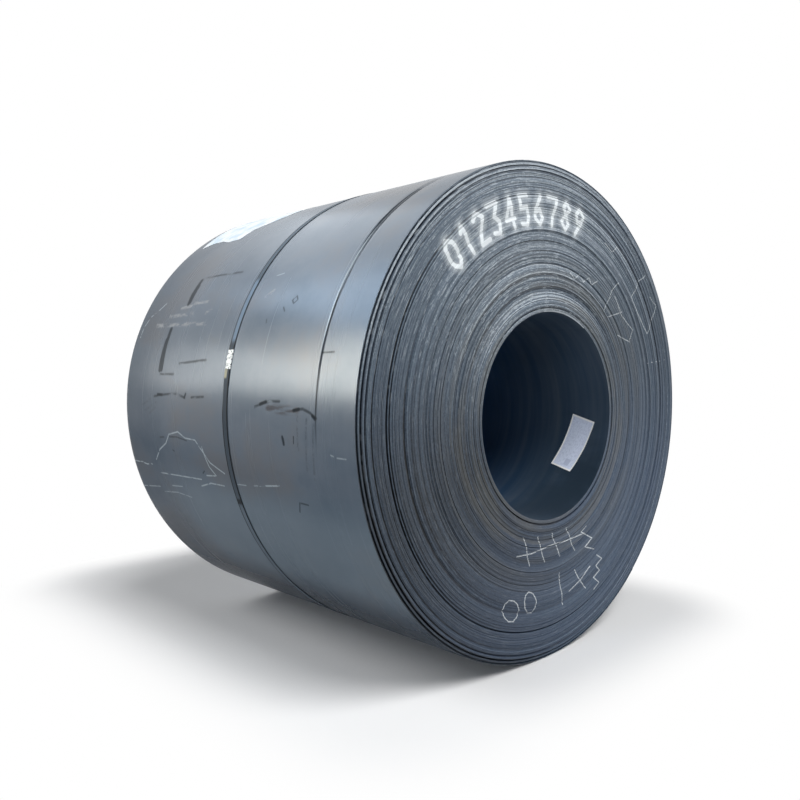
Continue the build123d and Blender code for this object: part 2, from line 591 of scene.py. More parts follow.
@dataclass(frozen=True)
class MillScale(Finish):
    """Hot-rolled steel as it leaves the mill: a blue-grey oxide skin with rolling streaks.

    The eye sees a dull, cloudy sheen that runs in streaks round the coil, thin bright scratches
    where steel shows, pale scuffs, dark gouges and a brown water stain. The sheen is dull where
    oil lies, low down and towards the far end. The colour holds painted shade low down and
    towards the far end, a pale painted reflection of the floor low on the side, and painted
    shade and a painted highlight on the crease.
    """

    name: str = "hot_rolled_steel_mill_scale"
    blue: str = "#4b5a69"
    pale: str = "#5a6673"
    warm: str = "#61666d"
    painted_ground_reflection: str = "#76848f"
    painted_shade: str = "#2a3643"
    roughness: float = 0.25
    metallic: float = 0.10
    sheen: float = 0.22
    ground_reflection_band: Band = (0.48, 0.10, 0.32, 0.6)
    ground_reflection_start: Point = (-0.62, -0.25)
    shade_low: Fade = (0.60, 0.88, 0.0, 0.93)
    shade_under: Fade = (2.2, 3.0, 0.93, 0.0)
    shade_far: Fade = (-0.25, -0.75, 0.0, 0.35)
    dull_low: Fade = (-0.06, 0.22, 0.0, 0.88)
    dull_under: Fade = (2.2, 3.0, 0.88, 0.45)
    dull_top: Fade = (-0.85, -1.35, 0.0, 0.45)
    dull_far: Fade = (-0.30, -0.74, 0.0, 0.55)
    crease_x: float = 0.564
    crease_half: Fade = (0.30, 0.75, 0.0012, 0.0112)
    crease_fold_shade: Fade = (0.0016, 0.0040, 0.9, 0.0)
    crease_inside_shade: Fade = (0.45, 0.75, 0.0, 0.8)
    crease_lip_highlight: Band = (-0.0065, 0.0014, 0.0036, 0.9)

    def skin(self, field: Field, streak: Value, fine: Value) -> Socket:
        """Colour of the scale before it was marked, with painted shade and a painted reflection.

        Args:
            field: places on the coil.
            streak: broad rolling streaks.
            fine: fine rolling streaks.

        Returns:
            Colour.
        """
        # Oxide clouds of 300 to 400 mm.
        cloud = field.noise((2.4, 3.4, 3.4), 5.0, 0.55, 7.0)
        tone = streak * 0.10 + cloud * 1.3 + fine * 0.02
        colour = field.shades(tone, ((0.52, self.blue), (0.72, self.pale), (0.90, self.warm)))
        below = field.angle(SHOWN_SIDE)
        # Painted reflection: a paler band low on the side, where the skin mirrors the floor,
        # fading out towards the far end.
        painted_ground_reflection = below.near(*self.ground_reflection_band) * field.x.fade(*self.ground_reflection_start)
        colour = field.coat(colour, self.painted_ground_reflection, painted_ground_reflection)
        # Painted shade: the colour darkens low on the side, and towards the far end round the
        # middle of the side.
        low = below.fade(*self.shade_low).at_most(below.fade(*self.shade_under))
        far = field.x.fade(*self.shade_far) * below.near(0.0, 1.2, 1.6)
        return field.coat(colour, self.painted_shade, low.at_least(far))

    def mark(
        self, field: Field, colour: Socket, spot: Socket, kind: Mark
    ) -> tuple[Socket, Value]:
        """Lays one kind of mark over a colour.

        Args:
            field: places on the coil.
            colour: colour below.
            spot: flat place on the shown side.
            kind: marks to draw.

        Returns:
            Colour with the marks, and how far they cover it.
        """
        pen = PENS[kind]
        apart = field.distance(spot, kind.strokes())
        cover = apart.fade(pen.half * MM, (pen.half + pen.border) * MM, pen.level, 0.0)
        wear_and_highlight = field.noise((pen.cells, 60.0, 60.0), 3.0, 0.6, pen.half)
        cover = cover * wear_and_highlight.fade(pen.gone, pen.whole)
        return field.coat(colour, pen.tint, cover), cover

    def crease(self, field: Field, colour: Socket, rise: Value) -> tuple[Socket, Value]:
        """Paints shade in the two folds of the rolled-over crease and a highlight on its lip.

        Args:
            field: places on the coil.
            colour: colour below.
            rise: height along the skin above the middle of the side, in metres.

        Returns:
            Colour with the crease, and how far it dulls the skin.
        """
        away = field.x - self.crease_x
        half = rise.fade(*self.crease_half)
        # Painted shade: dark lines along both folds, and inside the groove higher up.
        fold = abs(abs(away) - half).fade(*self.crease_fold_shade)
        inside = rise.fade(*self.crease_inside_shade) * abs(away).then("LESS_THAN", half)
        run = rise.fade(-0.10, 0.08) * rise.fade(0.90, 0.94, 1.0, 0.0)
        shade = fold.at_least(inside) * run * 0.9
        colour = field.coat(colour, OXIDE, shade)
        # Painted highlight: a bright line along the lip beside the folds.
        lip = away.near(*self.crease_lip_highlight) * rise.near(0.46, 0.13, 0.24)
        return field.coat(colour, BARE_STEEL, lip), shade

    def inputs(self, field: Field) -> dict[str, object]:
        """Works out colour, sheen and relief of the outer wrap.

        Args:
            field: places on the coil.

        Returns:
            The shader's inputs.
        """
        # Rolling streaks are about 30 mm wide. The mill's finer lines are well under 1 mm wide,
        # and they are drawn 4 mm wide, so that they show.
        streak = field.noise((34.0, 0.8, 0.8), 2.0)
        fine = field.noise((230.0, 2.5, 2.5), 2.0, 0.5, 3.0)
        around = field.angle(SHOWN_SIDE)
        rise = around * -SKIN_RADIUS
        spot = add(field.tree, "CombineXYZ", {0: field.x, 1: rise})
        colour, dull = self.crease(field, self.skin(field, streak, fine), rise)
        for kind, pen in PENS.items():
            colour, cover = self.mark(field, colour, spot, kind)
            if pen.tint != BARE_STEEL:
                dull = dull.at_least(cover)
        below = field.x * -0.12 + around
        oil = below.fade(*self.dull_low).at_most(around.fade(*self.dull_under))
        oil = oil.at_least(around.fade(*self.dull_top))
        oil = oil.at_least(field.x.fade(*self.dull_far))
        clear = 1.0 - dull.at_least(oil)
        return {
            "Base Color": colour,
            "Roughness": streak.fade(0.3, 0.7, self.roughness, self.roughness + 0.025),
            "Metallic": clear * self.metallic,
            "Specular IOR Level": clear * self.sheen,
            "Normal": add(field.tree, "Bump", {
                "Strength": 0.011, "Distance": 0.0006, "Height": fine * 0.08 + streak}),
        }


# Strokes of the digits 0 to 9 on a square from (0, 0) to (1, 1)
DIGITS: tuple[tuple[Stroke, ...], ...] = (
    ([(0.5, 1), (0.9, 0.82), (1, 0.5), (0.9, 0.18), (0.5, 0), (0.1, 0.18), (0, 0.5), (0.1, 0.82),
      (0.5, 1)],),
    ([(0.2, 0.8), (0.55, 1), (0.55, 0)],),
    ([(0, 0.85), (0.5, 1), (0.95, 0.8), (0, 0), (1, 0)],),
    ([(0, 1), (1, 1), (0.4, 0.6), (0.95, 0.35), (0.6, 0), (0, 0.08)],),
    ([(0.72, 0), (0.72, 1), (0, 0.3), (1, 0.3)],),
    ([(0.95, 1), (0.12, 1), (0.08, 0.58), (0.75, 0.6), (0.95, 0.3), (0.6, 0), (0, 0.06)],),
    ([(0.8, 1), (0.15, 0.55), (0.05, 0.2), (0.5, 0), (0.95, 0.25), (0.6, 0.52), (0.12, 0.4)],),
    ([(0, 1), (1, 1), (0.35, 0)],),
    ([(0.5, 0.54), (0.12, 0.78), (0.5, 1), (0.88, 0.78), (0.5, 0.54), (0.05, 0.25), (0.5, 0),
      (0.95, 0.25), (0.5, 0.54)],),
    ([(0.2, 0), (0.85, 0.45), (0.95, 0.8), (0.5, 1), (0.05, 0.75), (0.4, 0.48), (0.88, 0.6)],),
)

# Tally strokes, zigzags, rings and a cross below the bore, as y and z in millimetres from the axis
CHALK: tuple[Stroke, ...] = (
    [(-163, -424), (-150, -458), (-143, -498), (-128, -533)],
    [(-83, -434), (-71, -462), (-58, -505), (-41, -535)],
    [(1, -434), (12, -461), (34, -499), (51, -531)],
    [(88, -429), (109, -458), (124, -497), (148, -526)],
    [(-201, -485), (-120, -489), (-15, -479), (90, -478), (208, -469)],
    [(221, -443), (187, -461), (264, -498), (216, -526), (279, -546)],
    [(-188, -680), (-199, -702), (-222, -713), (-250, -706), (-270, -685), (-277, -660),
     (-266, -640), (-245, -631), (-218, -640), (-199, -658), (-188, -680)],
    [(-92, -672), (-98, -694), (-114, -709), (-138, -704), (-155, -683), (-161, -657),
     (-152, -636), (-134, -627), (-112, -637), (-98, -655), (-92, -672)],
    [(46, -595), (53, -640), (66, -690), (73, -725)], [(111, -680), (186, -650), (252, -610)],
    [(149, -605), (180, -652), (225, -694)],
    [(300, -574), (332, -594), (290, -616), (324, -642), (282, -664), (314, -690), (278, -710)],
)

# Fainter zigzags, ticks and a row of dots at the upper right
SCRIBBLE: tuple[Stroke, ...] = (
    [(332, 667), (383, 638), (419, 662), (496, 610)],
    [(107, 530), (133, 510), (165, 531), (192, 504), (225, 522), (245, 497), (279, 515)],
    [(331, 402), (386, 485), (430, 520)], [(360, 380), (463, 406)],
    [(435, 311), (520, 285), (550, 336), (463, 389), (409, 466)],
    [(640, 567), (592, 542), (538, 471), (665, 323), (737, 447), (676, 481)],
    [(672, 197), (677, 198)], [(708, 202), (713, 202)], [(744, 205), (749, 205)],
    [(779, 208), (783, 208)], [(814, 213), (818, 213)],
)


@dataclass(frozen=True)
class WoundEdges(Finish):
    """Mill edges of the wraps, side by side: one thin line each, some lighter and some darker.

    Every wrap's edge took the light, the dirt and the rust a little differently, which gives the
    fine rings. On the shown end there are sprayed digits and chalk marks too, which sit on the
    proud wraps and miss the others. Painted light makes the end lighter towards the top, with
    painted highlights on dashes there, and painted shade darkens its lower left, the outer wraps
    there and the wraps that stand back.
    """

    name: str = "hot_rolled_steel_mill_edges"
    marked: bool = True
    gap: str = "#0b0f14"
    dark: str = "#313c49"
    middle: str = "#424f5d"
    pale: str = "#586673"
    light: str = "#b4bdc4"
    cool: str = "#42546f"
    dust_and_shade: str = "#5f5e59"
    paint: str = "#e6ebed"
    lit_angle: float = 108.0
    lit_band: Band = (0.0, 0.2, 1.5, 1.0)
    shade_angle: float = -137.0
    shade_band: Band = (0.0, 0.35, 1.15, 0.24)
    cool_angle: float = -65.0
    cool_band: Band = (0.0, 0.6, 1.7, 0.35)
    rim_shade_angle: float = -135.0
    rim_shade_band: Band = (0.0, 0.5, 1.0, 0.55)
    rim_shade_edge: Point = (0.872, 0.884)
    dusty_core: Point = (0.72, 0.45)
    digit_angle: float = 137.0
    digit_span: float = 62.0
    digit_low: float = 0.686
    digit_height: float = 0.098
    digit_width: float = 0.048
    digit_radius: float = 0.74
    spray: Point = (0.0055, 0.0110)
    mist: Point = (0.004, 0.034)
    mist_level: float = 0.34
    chalk_border: float = 2.0

    def digit_strokes(self) -> list[Stroke]:
        """Lays the digits out in a row.

        Returns:
            Strokes in metres along and above the middle of their arc.
        """
        pitch = radians(self.digit_span) * self.digit_radius / len(DIGITS)
        strokes = []
        for index, digit in enumerate(DIGITS):
            left = (index - len(DIGITS) / 2 + 0.5) * pitch - self.digit_width / 2
            for stroke in digit:
                strokes.append([(left + u * self.digit_width, v * self.digit_height)
                                for u, v in stroke])
        return strokes

    def marks(self, field: Field, colour: Socket, each: Value) -> Socket:
        """Sprays the digits and draws the chalk marks over a colour.

        Args:
            field: places on the coil.
            colour: colour below.
            each: tone of each wrap.

        Returns:
            Colour with the marks.
        """
        along = field.angle(self.digit_angle - self.digit_span / 2) * -self.digit_radius
        spot = add(field.tree, "CombineXYZ", {0: along, 1: field.radius - self.digit_low})
        apart = field.distance(spot, self.digit_strokes())
        core = apart.fade(*self.spray, 1.0, 0.0)
        mist = apart.fade(*self.mist, self.mist_level, 0.0)
        caught = each.fade(0.30, 0.48, 0.60, 1.0)
        colour = field.coat(colour, self.paint, core.at_least(mist) * caught)
        flat = add(field.tree, "CombineXYZ", {
            0: field.part(field.point, "Y"), 1: field.part(field.point, "Z")})
        # Chalk grains are under 0.1 mm. The line is broken every 3 mm, so that it shows.
        rubbed = field.noise((300.0, 300.0, 300.0), 1.0, 0.5, 31.0).fade(0.38, 0.50, 0.30, 1.0)
        caught = each.fade(0.34, 0.47, 0.12, 1.0) * rubbed
        for strokes, half, level in ((CHALK, 1.1, 0.78), (SCRIBBLE, 0.9, 0.66)):
            apart = field.distance(flat, metres(strokes))
            chalk = apart.fade(half * MM, (half + self.chalk_border) * MM, level, 0.0)
            colour = field.coat(colour, self.paint, chalk * caught)
        return colour

    def inputs(self, field: Field) -> dict[str, object]:
        """Works out colour and relief of an end.

        Args:
            field: places on the coil.

        Returns:
            The shader's inputs.
        """
        each = field.number("Attribute", {}, out="Fac", attribute_name="wrap_tone_and_shade")
        # Dust lies in bands of 33 mm. Burr and scale on an edge are finer than 1 mm, and they are
        # drawn as grain of 5 to 11 mm and as specks and dashes 3 to 4 mm high, one wrap's gauge.
        bands = field.ring_noise(30.0, 1.0, 2.0, 11.0)
        grain = field.noise((90.0, 190.0, 190.0), 2.0, 0.6, 21.0)
        speck = field.ring_noise(260.0, 60.0, 1.0, 9.0)
        dashes = field.ring_noise(300.0, 14.0, 1.0, 3.0)
        # Painted light: the end is lighter towards the top.
        upper = field.angle(self.lit_angle).near(*self.lit_band)
        # Painted shade: the end is darker at the lower left.
        painted_shade = field.angle(self.shade_angle).near(*self.shade_band)
        tone = each + (grain - 0.5) * 0.34 + (speck - 0.5) * 0.26 + upper * 0.20 - painted_shade
        # The darkest stop is the painted shade of an open gap between wraps.
        colour = field.shades(tone, (
            (0.10, self.gap), (0.36, self.dark), (0.52, self.middle), (0.72, self.pale),
            (0.95, self.light)))
        cool = field.angle(self.cool_angle).near(*self.cool_band)
        colour = field.coat(colour, self.cool, cool)
        # Painted shade: the outermost wraps, with the groove that stands far back among them, are
        # darkened at the lower left.
        rim = field.radius.fade(*self.rim_shade_edge) * field.angle(self.rim_shade_angle).near(*self.rim_shade_band)
        colour = field.coat(colour, self.gap, rim)
        dusty = field.radius.fade(*self.dusty_core) * bands.fade(0.4, 0.65, 0.0, 0.45)
        colour = field.coat(colour, self.dust_and_shade, dusty)
        # Light dashes along the edges: a few everywhere, most of them painted highlights towards
        # the top.
        dash_highlight = dashes.fade(0.60, 0.66) * (upper * 0.55 + 0.08)
        colour = field.coat(colour, self.light, dash_highlight)
        if self.marked:
            colour = self.marks(field, colour, each)
        bump = add(field.tree, "Bump", {"Strength": 0.5, "Distance": 0.0010, "Height": grain})
        return {"Base Color": colour, "Metallic": 0.1, "Roughness": 0.55, "Normal": bump}


@dataclass(frozen=True)
class BoreScale(Finish):
    """Scale of the innermost wrap, never rubbed, so duller inside; its darker, bluer colour is
    painted shade.
    """

    name: str = "hot_rolled_steel_bore_scale_shaded"
    dark: str = "#304459"
    light: str = "#4d5967"
    dust_and_shade: str = "#22303d"
    deep_shade: str = "#1c5080"
    low_shade_angle: float = -55.0
    low_shade_band: Band = (0.0, 0.15, 1.45, 1.0)
    low_shade_reach: Point = (0.20, 0.72)
    deep_start: Fade = (0.55, -0.10, 0.0, 0.80)
    deep_end: Fade = (-0.50, -0.15, 0.2, 1.0)
    sheen: Fade = (-0.1, 0.7, 0.0, 0.35)

    def inputs(self, field: Field) -> dict[str, object]:
        """Works out colour and gloss of the bore wall.

        Args:
            field: places on the coil.

        Returns:
            The shader's inputs.
        """
        # Rolling streaks 40 mm wide, and clouds of 170 to 250 mm.
        streak = field.noise((25.0, 1.5, 1.5), 4.0)
        cloud = field.noise((4.0, 6.0, 6.0), 4.0, 0.6, 4.0)
        colour = field.shades(streak, ((0.35, self.dark), (0.7, self.light)))
        # Painted shade: the wall is darker low down near the mouth, in clouds.
        low_shade = field.angle(self.low_shade_angle).near(*self.low_shade_band)
        low_shade = low_shade * field.x.fade(*self.low_shade_reach)
        colour = field.coat(colour, self.dust_and_shade, low_shade * cloud.fade(0.1, 0.6))
        # Painted shade: the wall turns bluer far inside.
        deep_shade = field.x.fade(*self.deep_start) * field.x.fade(*self.deep_end)
        return {
            "Base Color": field.coat(colour, self.deep_shade, deep_shade),
            "Roughness": 0.5,
            "Specular IOR Level": field.x.fade(*self.sheen),
        }


@dataclass(frozen=True)
class Strapping(Finish):
    """Cold-rolled steel strapping with a baked dark finish.

    The eye sees a dull dark band with darker edges. Painted light makes it paler towards the top
    and low down, a painted highlight runs along one edge, a painted glint lies on the bare steel
    where its ends lap, and a painted reflection of the sky lies where it turns over the shoulder
    of the coil.
    """

    name: str = "steel_strapping_baked_finish"
    dark: str = "#38424c"
    middle: str = "#5d6a76"
    sky_reflection: str = "#8195aa"
    bright: str = "#8d989f"
    edge: str = "#0c1116"
    bare: str = "#c4bfa4"
    centre: float = 0.042
    side: Point = (0.0090, 0.0125)
    light_top: Fade = (0.25, 0.75, 0.0, 0.6)
    light_low: Fade = (-0.28, -0.42, 0.0, 0.9)
    sky_reflection_band: Band = (0.435, 0.115, 0.145, 0.85)
    knot_band: Band = (-0.321, 0.006, 0.018, 0.85)
    highlight_edge: Fade = (0.0310, 0.0340, 1.0, 0.0)
    highlight_band: Band = (0.12, 0.02, 0.10, 0.8)
    lap_edge: Fade = (0.040, 0.044, 0.9, 0.0)
    lap_glint_band: Band = (0.178, 0.012, 0.022, 1.0)

    def inputs(self, field: Field) -> dict[str, object]:
        """Works out the colour of the strap.

        Args:
            field: places on the coil.

        Returns:
            The shader's inputs.
        """
        # Patches of worn finish, as wide as the strap and 250 mm long.
        patch = field.noise((30.0, 4.0, 4.0), 4.0)
        rise = field.angle(SHOWN_SIDE) * -1.0
        # Painted light: the strap is paler towards the top and low down.
        upper = rise.fade(*self.light_top).at_least(rise.fade(*self.light_low))
        colour = field.shades(patch * 0.5 + upper, ((0.2, self.dark), (0.9, self.middle)))
        # Painted reflection of the sky where the strap turns over the shoulder.
        colour = field.coat(colour, self.sky_reflection, rise.near(*self.sky_reflection_band))
        colour = field.coat(colour, self.edge, rise.near(*self.knot_band))
        colour = field.coat(colour, self.edge, abs(field.x - self.centre).fade(*self.side))
        # Painted highlight along one edge, at the height where the side shows its highlight.
        wear_and_highlight = (field.x + patch * 0.006).fade(*self.highlight_edge)
        colour = field.coat(colour, self.bright, wear_and_highlight * rise.near(*self.highlight_band))
        # Painted glint on the bare steel where the strap's ends lap.
        lap = rise.near(*self.lap_glint_band) * field.x.fade(*self.lap_edge)
        colour = field.coat(colour, self.bare, lap)
        return {"Base Color": colour, "Roughness": 0.5, "Specular IOR Level": 0.05}


@dataclass(frozen=True)
class SealSteel(Finish):
    """Zinc-coated steel seal, bent and crimped: bright facets with dull dents."""

    name: str = "zinc_coated_steel_seal_pressed"
    bright: str = "#d0d4d4"
    dull: str = "#5c646a"

    def inputs(self, field: Field) -> dict[str, object]:
        """Works out colour and relief of the seal.

        Args:
            field: places on the coil.

        Returns:
            The shader's inputs.
        """
        # The crimping tool's facets are 8 mm wide.
        patch = field.noise((120.0, 120.0, 120.0), 3.0)
        return {
            "Base Color": field.shades(patch, ((0.40, self.dull), (0.52, self.bright))),
            "Metallic": 0.2,
            "Roughness": 0.45,
            "Normal": add(field.tree, "Bump", {
                "Strength": 0.5, "Distance": 0.003, "Height": patch}),
        }


@dataclass(frozen=True)
class LabelPaper(Finish):
    """Coated label paper with a bare printed form: ruled lines and shaded fields, no words."""

    name: str = "label_paper_printed_form"
    white: str = "#ffffff"
    shaded: str = "#dfe9ff"
    ink: str = "#7482a8"
    rows: float = 11.0
    length_to_width: float = 1.8
    margin: Point = (0.05, 0.07)
    square_at: Point = (0.62, 0.14)
    square_half: Fade = (0.10, 0.14, 1.5, 0.0)

    def inputs(self, field: Field) -> dict[str, object]:
        """Works out the print on the label in the bore.

        Args:
            field: places on the coil.

        Returns:
            The shader's inputs.
        """
        spot = add(field.tree, "UVMap")
        u, v = field.part(spot, "X"), field.part(spot, "Y")
        edge = u.at_most(1.0 - u).at_most(v.at_most(1.0 - v) * self.length_to_width)
        inside = edge.fade(*self.margin)
        # Ruled rows 21 mm high. Small print is drawn as blots of 5 to 11 mm, because its strokes
        # are far finer than the render shows.
        row = (v * self.rows).then("FRACT")
        ruled = abs(row - 0.5).fade(0.36, 0.42)
        blot = field.number("TexNoise", {"Vector": spot, "Scale": 21.0, "Detail": 3.0})
        printed = ruled * 0.12 + blot.fade(0.42, 0.68, 0.0, 0.9)
        across, along = self.square_at
        square = abs(u - across).at_least(abs(v - along) * self.length_to_width)
        printed = printed.at_least(square.fade(*self.square_half))
        colour = field.coat(linear(self.white), self.shaded, inside * 0.85)
        colour = field.coat(colour, self.ink, inside * printed * 0.24)
        return {"Base Color": colour, "Roughness": 0.45}


@dataclass(frozen=True)
class SheetPaper(Finish):
    """Thin paper sheet, damp in places and torn: white with pale blue patches."""

    name: str = "sheet_paper_damp"
    base: str = "#f1f5f8"
    shade: str = "#cfe0ec"

    def inputs(self, field: Field) -> dict[str, object]:
        """Works out colour and relief of the torn sheet.

        Args:
            field: places on the coil.

        Returns:
            The shader's inputs.
        """
        # Damp patches of 70 mm. Paper fibres are drawn 5 mm long, much coarser than they are.
        patch = field.noise((14.0, 14.0, 14.0), 4.0)
        fibre = field.noise((220.0, 220.0, 220.0), 3.0, 0.6, 2.0)
        return {
            "Base Color": field.shades(patch, ((0.38, self.shade), (0.55, self.base))),
            "Roughness": 0.8,
            "Normal": add(field.tree, "Bump", {
                "Strength": 0.2, "Distance": 0.0004, "Height": fibre}),
        }


# ---------------------------------------------------------------- the coil

# Wraps that stand back or proud: radius, set-off and half width in millimetres, then middle angle
# and spread in degrees
MARKED_RINGS: tuple[tuple[float, float, float, float, float], ...] = (
    (882.0, -24.0, 3.1, 210.0, 100.0), (894.0, -8.0, 1.6, 205.0, 110.0),
    (889.5, 2.0, 1.6, 200.0, 120.0), (874.5, 2.5, 1.6, 200.0, 120.0),
    (867.0, -6.0, 1.6, 215.0, 100.0), (858.0, 2.0, 1.6, 180.0, 60.0),
    (843.0, -4.0, 1.6, 180.0, 90.0), (786.0, -9.0, 1.6, 205.0, 100.0),
    (777.0, -4.0, 1.6, 190.0, 60.0), (718.5, -3.0, 3.1, 195.0, 60.0),
    (708.0, 2.0, 1.6, 190.0, 60.0), (619.5, -5.0, 1.6, 235.0, 60.0),
    (571.5, -4.0, 1.6, 235.0, 60.0), (481.5, -5.0, 1.6, 250.0, 90.0),
    (454.5, -4.0, 1.6, 250.0, 110.0), (439.5, 2.0, 1.6, 250.0, 120.0),
    (424.5, -3.0, 1.6, 250.0, 140.0), (414.0, 2.0, 1.6, 250.0, 140.0),
    (396.0, -10.0, 1.6, 250.0, 150.0), (670.5, 2.0, 1.6, 90.0, 60.0),
    (631.5, -3.0, 1.6, 90.0, 60.0), (595.5, -3.0, 1.6, 90.0, 60.0),
    (552.0, -3.0, 1.6, 95.0, 60.0), (513.0, -3.0, 1.6, 95.0, 60.0),
    (471.0, -3.0, 1.6, 95.0, 60.0), (831.0, 2.0, 1.6, 90.0, 60.0),
    (795.0, -3.0, 1.6, 25.0, 50.0), (768.0, 2.0, 1.6, 60.0, 50.0),
)


@dataclass
class WoundCoil:
    """The strip, wound up: outer wrap, both ends turn by turn, and the bore. Millimetres."""

    half_width: float = 750.0
    outer: float = 900.0
    bore: float = 381.0
    gauge: float = 3.0
    slit: float = 0.04
    steps: int = 160
    front_limit: float = 753.95
    back_limit: float = -752.9
    tail_angle: float = -50.0
    tail_run: float = 70.0
    head_angle: float = 59.5
    head_run: float = 55.0
    loosened: float = 18.0
    rounding: Point = (0.9, 0.7)
    crease_x: float = 564.0
    seed: int = 11

    def turns(self) -> int:
        """Number of wraps between the bore and the outside."""
        return round((self.outer - self.bore) / self.gauge)

    def turn_at(self, radius: Array) -> Array:
        """Number of the wrap at each radius, counted from the outside."""
        turn = ((self.outer - radius) / self.gauge).astype(int)
        return np.clip(turn, 0, self.turns() - 1)

    def middle_of(self, turn: Array) -> Array:
        """Radius of the middle of each wrap."""
        return self.outer - (turn + 0.5) * self.gauge

    def set_off(self, radius: Array) -> Array:
        """Set-off of the wraps along X, as the CAD solid has it.

        Args:
            radius: radii in millimetres.

        Returns:
            Set-off of each in millimetres.
        """
        spots = [(900.0, 0.0), (885.0, 0.0), (884.9, 4.0), (869.1, 4.0)]
        spots += [(869.0 - 39.5 * i, 3.0 * sin(2.4 * i)) for i in range(3)]
        spots += [(785.0 - 366.0 / 11 * i, 3.0 * sin(2.4 * i)) for i in range(12)]
        spots += [(418.9, 4.0), (395.1, 4.0), (395.0, 0.0), (381.0, 0.0)]
        spots.sort()
        return np.interp(radius, [s[0] for s in spots], [s[1] for s in spots])

    def end_corners(self, side: int, every: int) -> list[Point]:
        """Corners of one end from the outside in, with a slit between its flats.

        Args:
            side: 1 for the shown end, -1 for the far one.
            every: number of wraps that share a flat.

        Returns:
            Corners as x and radius.
        """
        face = side * self.half_width
        along, inwards = self.rounding
        corners = [(face - side * along, self.outer), (face, self.outer - inwards)]
        for turn in range(0, self.turns(), every):
            top = self.outer - turn * self.gauge
            if turn:
                corners.append((face, top - self.slit))
            corners.append((face, max(self.bore, top - every * self.gauge) + self.slit))
        return corners

    def outline(self) -> list[Point]:
        """Half section with one flat for each wrap on the shown end and one for two behind.

        Returns:
            Corners as x and radius in metres.
        """
        reach = self.half_width - 12
        wall = [(x, self.bore) for x in np.linspace(reach, -reach, 12)]
        crease = [self.crease_x + d for d in (-22, -14, -9, -5.5, -2.6, 0, 2.6, 5.5, 9, 14, 22)]
        spans = [*np.linspace(-735, 520, 22), *crease, 630.0, 680.0, 735.0]
        skin = [(x, self.outer) for x in sorted(spans)]
        ring = self.end_corners(1, 1) + wall + self.end_corners(-1, 2)[::-1] + skin
        return [(x * MM, r * MM) for x, r in ring]

    def columns(self) -> Array:
        """Spaces the mesh columns, two of them close together at each strip end.

        Returns:
            Angle of each column in degrees.
        """
        step = 360.0 / self.steps
        angles = np.arange(self.steps) * step
        for special in (self.tail_angle % 360.0, self.head_angle):
            low = int(special // step)
            angles[low] = special - 0.02
            angles[low + 1] = special + 0.02
        return angles

    def groups(self, rng: np.random.Generator, count: int) -> Array:
        """Set-off that neighbouring wraps share, in groups of two to six.

        Args:
            rng: source of randomness.
            count: number of wraps.

        Returns:
            Set-off of each wrap in millimetres.
        """
        shared = np.zeros(count)
        turn = 0
        while turn < count:
            size = int(rng.integers(2, 7))
            shared[turn:turn + size] = rng.normal(-0.4, 0.30)
            turn += size
        return shared

    def strays(self, rng: np.random.Generator, turn: Array, angle: Array) -> Array:
        """Lets single wraps stand back or proud over part of a turn.

        Args:
            rng: source of randomness.
            turn: number of the wrap of each vertex.
            angle: angle of each vertex in degrees.

        Returns:
            Set-off of each vertex in millimetres.
        """
        shift = np.zeros(len(turn))
        for wrap in range(3, self.turns() - 4):
            if rng.random() < 0.22:
                depth = -rng.uniform(1.5, 4.0) if rng.random() < 0.6 else rng.uniform(1.0, 2.4)
                stray = depth * bell(angle, rng.uniform(0.0, 360.0), rng.uniform(25.0, 110.0))
                shift += np.where(turn == wrap, stray, 0.0)
        return shift

    def wind(self, points: Array) -> Array:
        """Gives every wrap its own set-off, lean, gap and waviness.

        Args:
            points: vertices of the plain spun ring.

        Returns:
            Vertices of the wound coil.
        """
        rng = np.random.default_rng(self.seed)
        x = points[:, 0] / MM
        radius, angle = polar(points)
        column = np.rint(angle * self.steps / 360.0).astype(int) % self.steps
        angle = self.columns()[column]
        phi = np.radians(angle)
        count = self.turns()
        turn = self.turn_at(radius)
        end = np.abs(x) > self.half_width - 0.5
        jitter = self.groups(rng, count) + rng.normal(0.0, 0.4, count)
        swing = rng.normal(0.0, 0.22, count)
        lag = rng.uniform(0.0, tau, count)
        tilt = rng.normal(0.0, 0.22, count)
        shift = jitter[turn] + swing[turn] * np.cos(phi - lag[turn])
        for centre, depth, width, middle, spread in MARKED_RINGS:
            near = np.abs(self.middle_of(turn) - centre) < width
            shift = shift + depth * near * bell(angle, middle, spread)
        shift = shift + self.strays(rng, turn, angle)
        inner = (self.outer - radius) / self.gauge - turn > 0.5
        lean = np.where(inner, tilt[turn], -tilt[turn])
        base = self.set_off(radius)
        front = np.minimum(self.half_width + base + shift + lean, self.front_limit)
        x = np.where(end & (x > 0), front, x)
        pair = turn // 2 * 2
        back = -self.half_width + base + jitter[pair] + swing[pair] * np.cos(phi - lag[pair])
        x = np.where(end & (x < 0), np.maximum(back, self.back_limit), x)
        return on_wall(x, radius + self.run_out(radius, angle) + self.waves(x, radius, angle), phi)

